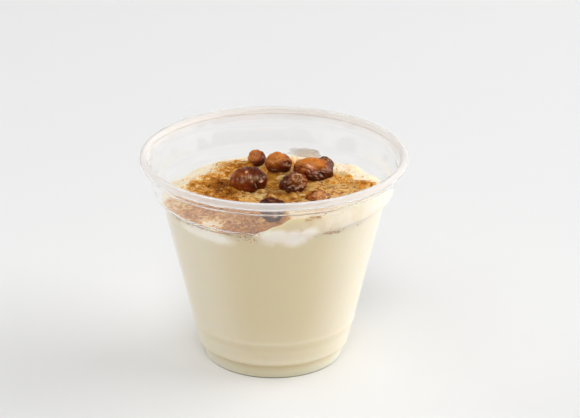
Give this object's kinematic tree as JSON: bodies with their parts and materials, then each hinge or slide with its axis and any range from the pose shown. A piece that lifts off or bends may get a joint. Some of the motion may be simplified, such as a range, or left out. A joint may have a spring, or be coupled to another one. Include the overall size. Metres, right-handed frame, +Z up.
{
  "type": "rice pudding",
  "caption": "Creamy rice pudding in a clear lipped dessert cup, its surface dusted with cinnamon and topped with soft wrinkled raisins.",
  "frame": {"origin": "centre of the flat ring under the cup's foot", "axes": "+Z up out of the cup's mouth, +Y towards the back, where the pudding stands lowest, +X to the right"},
  "size_m": [0.0918, 0.0918, 0.0741],
  "materials": {
    "clear_cup": "clear, glossy, thin moulded sheet",
    "pudding": "moist and creamy, with cinnamon and amber syrup on top",
    "raisin": "wet, glossy, wrinkled"
  },
  "bodies": {
    "root": {"cup": "clear_cup", "pudding": "pudding", "raisin_1": "raisin", "raisin_2": "raisin", "raisin_3": "raisin", "raisin_4": "raisin", "raisin_5": "raisin", "raisin_6": "raisin", "raisin_7": "raisin", "raisin_8": "raisin"}
  },
  "joints": []
}
